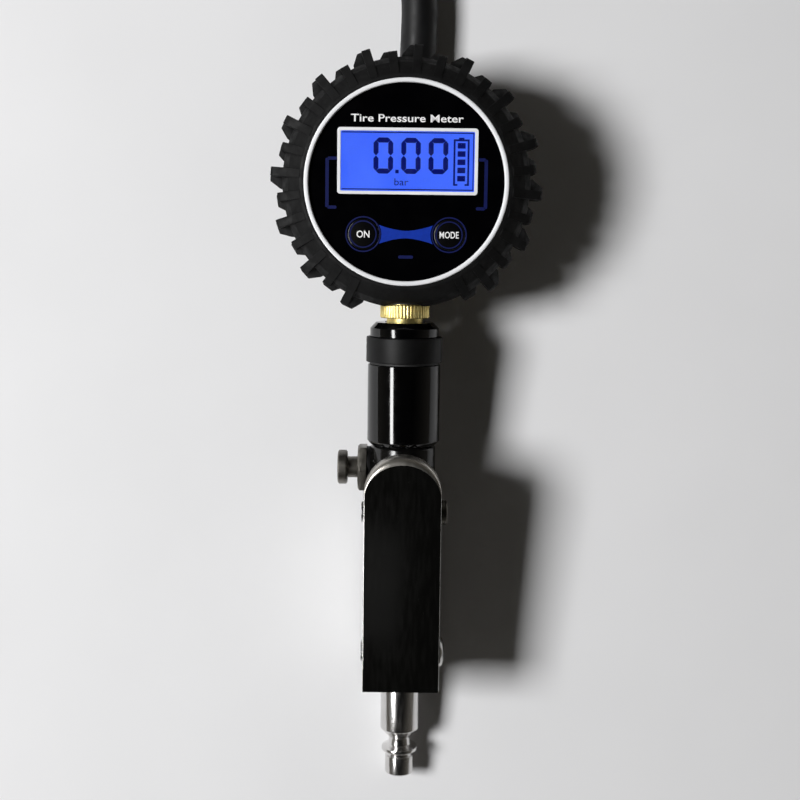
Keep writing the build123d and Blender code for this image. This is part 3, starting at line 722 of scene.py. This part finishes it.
def segment(bm, start, end, half, base):
    """One bar of a digit from start to end, with mitred ends."""
    along = (Vector(end) - Vector(start)).normalized()
    across = Vector((-along.y, along.x))
    a, b = Vector(start) + along * 0.12, Vector(end) - along * 0.12
    outline = [a + across * 0.15, a + along * half + across * half, b - along * half + across * half,
               b + across * 0.15, b - across * 0.15, b - along * half - across * half,
               a + along * half - across * half, a - across * 0.15]
    slab(bm, [tuple(p) for p in outline], base, base + PRINT)


def display_figures_and_painted_shadow():
    """A reading of nought, a battery gauge, a small unit mark, and painted shadow: dark strips along the
    display's edges where the frame shades the glass.
    """
    bm = bmesh.new()
    base, half = DISPLAY_TOP, 0.8
    top, foot = 14.3 - half, 2.9 + half
    middle = (top + foot) / 2
    for left, right in ((-10.7, -4.4), (-1.8, 4.45), (7.0, 13.3)):
        a, b = left + half, right - half
        for start, end in (((a, top), (b, top)), ((a, foot), (b, foot)), ((a, top), (a, middle)),
                           ((a, middle), (a, foot)), ((b, top), (b, middle)), ((b, middle), (b, foot))):
            segment(bm, start, end, half, base)
    bars = [(16.3, 18.85, 12.85 - 2.6 * n - 1.75, 12.85 - 2.6 * n) for n in range(5)]
    outline = [(15.0, 15.6, -0.7, 14.0), (19.5, 20.1, -0.7, 14.0), (15.4, 19.7, 13.4, 14.0),
               (16.7, 18.4, 13.9, 14.5), (15.4, 16.4, -0.7, -0.15), (18.7, 19.7, -0.7, -0.15)]
    # Painted shadow: navy strips along the top, bottom and right inner edges of the display, standing for the
    # frame's shade on the glass.
    edges = [(-20.9, 21.6, 15.75, 16.1), (-20.9, 21.6, -2.25, -1.9), (21.25, 21.55, -2.2, 16.0)]
    for x0, x1, y0, y1 in [(-3.65, -2.55, 3.05, 4.15), *bars, *outline, *edges]:
        slab(bm, box_outline(x0, x1, y0, y1, 0.08), base, base + PRINT)
    lettering(bm, "bar", (-3.9, -0.8), (0.6, 1.4), base, 0.0)
    add("display_figures_and_painted_shadow", bm, NAVY_SEGMENTS_AND_SHADOW)


def gauge_back():
    for node, width in (("gauge_case", 0.3), ("battery_door", 0.25), ("case_screws", 0.12)):
        softened(node, width)


# --- Handle --------------------------------------------------------------------------------------------
def lock_nut():
    """The brass nut with its fine ribs."""
    bm = bmesh.new()
    steps = NUT_RIBS * 8
    section = [(6.0, -39.5, 0), (7.85, -39.5, 0), (NUT_R, -39.8, 1), (NUT_R, -43.7, 1), (7.85, -44.0, 0),
               (6.0, -44.0, 0)]
    rings = []
    for n in range(steps):
        angle = 2 * pi * n / steps
        groove = 0.24 * (0.5 - 0.5 * cos(angle * NUT_RIBS)) ** 1.6
        rings.append([bm.verts.new(spread("y", r - groove * ribbed, s, angle)) for r, s, ribbed in section])
    for ring, following in zip(rings, rings[1:] + rings[:1]):
        for k in range(len(section)):
            bm.faces.new((ring[k - 1], ring[k], following[k], following[k - 1]))
    add("lock_nut_ribbed", bm, MATERIALS["brass"], replaced=("lock_nut",), sharp=40)


def handle_rounds():
    lathe_piece("gauge_stem", "y", [(2.5, -28.4, 0), (7.4, -28.4, 0.2), (7.4, -30.0, 0), (6.0, -30.0, 0),
                                    (6.0, -51.2, 0.2), (2.5, -51.2, 0.1)])
    lathe_piece("head_cap", "y", [
        (6.0, -45.4, 0.2), (9.6, -45.4, 0.5), (11.5, -47.4, 0.5), (11.5, -50.3, 0.15), (6.0, -50.3, 0),
    ])
    lathe_piece("collar_seal", "y", [
        (9.0, -58.7, 0), (11.6, -58.7, 0.1), (11.6, -59.4, 0.1), (9.0, -59.4, 0),
    ])
    lathe_piece("grip_tube", "y", [
        (4.0, -53.0, 0), (9.0, -53.0, 0), (9.0, -59.4, 0), (12.2, -59.4, 0.5), (12.2, -85.2, 0.5),
        (11.0, -86.6, 0.4), (8.5, -86.6, 0), (8.5, -78.0, 0), (4.0, -78.0, 0),
    ], segments=128)
    lathe_piece("inlet_seal", "y", [
        (5.6, -166.0, 0), (7.6, -166.0, 0.15), (7.6, -166.6, 0.15), (5.6, -166.6, 0),
    ])


def collar():
    """The matte collar and the flat block behind it that seats the hose's elbow."""
    bm = bmesh.new()
    section = [(9.0, -50.3, 0), (12.75, -50.3, 0.35), (12.75, -58.7, 0.35), (9.0, -58.7, 0)]
    turned(bm, section, "y", segments=128)
    block = bmesh.new()
    slab(block, box_outline(-6.5, 6.5, ELBOW_Y - 3.7, ELBOW_Y + 3.7, 0.8), -12.8, -9.6)
    bmesh.ops.bevel(block, geom=block.edges[:], offset=0.2, segments=2, affect="EDGES")
    joined(bm, block)
    add("outlet_collar_turned", bm, MATERIALS["black_matte"], replaced=("outlet_collar",))


def lever_underside(y):
    """Height of the lever's lower edge at a station along the tool."""
    edge = [(-165, -1.0), (-164.7, -1.0), (-163.0, -3.6), (-160.5, LEVER_FOOT), (-109.4, LEVER_FOOT),
            (-107.4, -3.7), (-106.4, -1.6), (-105.9, 6.0), (-105.2, 12.0), (-104.2, 15.6), (-102.4, 17.5),
            (-96.0, 19.0), (-80, 20.6)]
    for (y0, z0), (y1, z1) in zip(edge, edge[1:]):
        if y0 <= y <= y1:
            return z0 + (z1 - z0) * (y - y0) / (y1 - y0)


def end_roll(turn):
    """The roll's radius round the free end, where turn is the sine of the angle from the side."""
    return SIDE_ROLL + 2.9 * turn ** 1.2


def on_rim(at):
    """Whether a point of the lever lies on the satin edge round its free end."""
    out = Vector((at.x, at.y - LEVER_SHOULDER))
    return out.y > 0 and LEVER_HALF - out.length < 0.8 * end_roll(out.y / out.length)


def lever_stations():
    """(x, y, outward direction, roll radius) round the lever, from its right pivot corner to its left."""
    side = [LEVER_END, -164.2, -163.0, -161.5, -160.5, -158, -150, -140, -130, -120, -113, -109.4, -108.4,
            -107.4, -106.8, -106.4, -106.2, -105.9, -105.5, -105.2, -104.7, -104.2, -103.3, -102.4, -101.0]
    right = [(LEVER_HALF, y, Vector((1, 0)), SIDE_ROLL) for y in side]
    turns = 48
    end = []
    for n in range(turns + 1):
        angle = pi * n / turns
        out = Vector((cos(angle), sin(angle)))
        roll = end_roll(sin(angle))
        end.append((LEVER_HALF * out.x, LEVER_SHOULDER + LEVER_HALF * out.y, out, roll))
    return right + end + [(-x, y, Vector((-1, 0)), roll) for x, y, _, roll in right[::-1]]


def lever():
    """The pressed chrome channel: a gently crowned face, an edge that rolls round the free end, and walls."""
    bm = bmesh.new()
    stations = lever_stations()
    rolls, walls = 10, 4
    columns = []
    for x, y, out, roll in stations:
        column = []
        for step in range(rolls + 1):
            angle = pi / 2 * step / rolls
            inset = roll * (1 - sin(angle))
            column.append((x - out.x * inset, y - out.y * inset, LEVER_FACE - roll * (1 - cos(angle))))
        low, high = lever_underside(y), LEVER_FACE - roll
        column += [(x, y, high + (low - high) * step / walls) for step in range(1, walls + 1)]
        columns.append([bm.verts.new(at) for at in column])
    for left, right in zip(columns, columns[1:]):
        for k in range(len(left) - 1):
            bm.faces.new((left[k], left[k + 1], right[k + 1], right[k]))
    lever_face(bm, [column[0] for column in columns])
    shell = draft(bm)
    sheet = shell.modifiers.new("sheet", "SOLIDIFY")
    sheet.thickness, sheet.offset, sheet.use_even_offset = LEVER_SHEET, -1, True
    skin = settled(shell)
    stop_y, stop_z = STOP
    rise = (stop_y - PIVOT[0]) * sin(radians(LEVER_SWING))
    slot, hole = bmesh.new(), bmesh.new()
    arc = [(stop_y + STOP_SLOT * cos(a), stop_z + (rise if sin(a) > 0 else 0) + STOP_SLOT * sin(a))
           for a in (pi / 16 + 2 * pi * n / 32 for n in range(32))]
    slab(slot, arc, -20, 20, "x")
    hole_r = PIN_R + PIN_SLACK
    turned(hole, [(0, -20, 0), (hole_r, -20, 0), (hole_r, 20, 0), (0, 20, 0)], "x", (0, *PIVOT), 32)
    skin = cut(skin, slot, hole)
    for face in skin.faces:
        face.material_index = int(on_rim(face.calc_center_median()))
    piece = add("lever_chrome_skin", skin, MATERIALS["lever_chrome"], "lever_body", replaced=("lever",),
                sharp=40)
    piece.data.materials.append(LEVER_EDGE)
    bevelled(piece, 0.2, 50)


def lever_face(bm, rim):
    """Fills the face between the rim's two sides with rows that are crowned a little across the lever."""
    last, across = len(rim) - 1, 8
    rows = []
    for n in range(last // 2):
        right, left = rim[n], rim[last - n]
        row = [right]
        for k in range(1, across):
            share = k / across
            at = right.co.lerp(left.co, share)
            rise = CROWN * (1 - (2 * share - 1) ** 2) * min(1, abs(right.co.x) / 9)
            row.append(bm.verts.new((at.x, at.y, at.z + rise)))
        rows.append(row + [left])
    for row, following in zip(rows, rows[1:]):
        for k in range(across):
            bm.faces.new((row[k], row[k + 1], following[k + 1], following[k]))
    tip = rim[last // 2]
    for k in range(across):
        bm.faces.new((rows[-1][k], rows[-1][k + 1], tip))


def pins():
    """The lever's pivot pin with its domed head and clip, and the stop bolt with its nut."""
    gap = LEVER_HALF + 0.3
    end = gap + 0.9
    lathe_piece("lever_pivot_pin", "x", [
        (0, -end, 0), (PIN_R, -end, 0.3), (PIN_R, gap, 0), (5.25, gap, 0.15), (5.25, gap + 0.6, 0.25),
        (4.5, gap + 1.4, 0.9), (2.4, gap + 2.1, 1.4), (0, gap + 2.2, 0),
    ], (0, *PIVOT))
    lathe_piece("pivot_pin_clip", "x", [
        (PIN_R, -end, 0.1), (PIN_R, -gap, 0), (3.65, -gap, 0.1), (3.65, -gap - 0.6, 0.2), (3.2, -end, 0.2),
    ], (0, *PIVOT))
    for node in ("stop_bolt", "stop_bolt_nut"):
        softened(node, 0.15)


def valve_parts():
    """The valve's body, its stem under the lever, the release knob at its side and the hose's elbow."""
    for node, width in (("valve_body", 0.35), ("stem_gland", 0.25), ("release_valve_body", 0.15),
                        ("banjo_bolt", 0.15), ("hose_elbow", 0.25)):
        softened(node, width)
    tip = LEVER_FACE - LEVER_SHEET - STEM_GAP
    lathe_piece("valve_stem", "z", [
        (0, -3.6, 0), (2.7, -3.6, 0.1), (2.7, -2.9, 0), (1.4, -2.9, 0), (1.4, -1.1, 0), (2.0, -1.1, 0),
        (2.0, tip - 2.6, 0.2), (3.4, tip - 2.6, 0.2), (3.4, tip - 1.2, 0.5), (2.4, tip - 0.4, 0.8),
        (0, tip, 0),
    ], (0, STEM_Y, 0), segments=48)
    lathe_piece("release_washer", "x", [
        (4.5, -10.9, 0), (7.2, -10.9, 0.15), (7.2, -12.3, 0.15), (4.5, -12.3, 0),
    ], (0, *RELEASE))
    lathe_piece("release_knob", "x", [
        (0, -22.1, 0), (5.3, -22.1, 0.15), (5.8, -21.7, 0.15), (5.8, -19.3, 0.15), (5.3, -18.9, 0.1),
        (3.6, -18.7, 0.2), (3.6, -12.2, 0.1), (1.1, -12.2, 0), (1.1, -4.6, 0), (0, -4.6, 0),
    ], (0, *RELEASE))


def inlet_plug():
    lathe_piece("inlet_plug", "y", [
        (3.6, -160.4, 0), (5.2, -160.4, 0.2), (5.6, -161.0, 0.2), (5.6, -166.6, 0), (6.7, -166.6, 0.4),
        (6.7, -186.4, 0.7), (4.8, -188.6, 0.6), (3.75, -189.5, 0.8), (3.75, -192.2, 0.8),
        (6.2, -193.3, 0.35), (6.2, -194.4, 0.4), (4.3, -195.2, 0.3), (4.3, -196.1, 0.2),
        (4.95, -196.5, 0.25), (4.95, -202.3, 0.3), (4.4, -202.9, 0.3), (3.6, -202.9, 0.1),
    ], segments=128)


def carried_over():
    """Every CAD node that still shows gets its slot's material."""
    for node, thing in frame["nodes"].items():
        thing.data.materials.clear()
        thing.data.materials.append(MATERIALS[SLOT_OF[node]])


boot()
dial_trim()
blue_print()
bow_tie()
white_print()
button("on_button", "ON", 2.1, 1.15)
button("mode_button", "MODE", 3.1, 1.1)
display_figures_and_painted_shadow()
gauge_back()
lock_nut()
handle_rounds()
collar()
lever()
pins()
valve_parts()
inlet_plug()
carried_over()
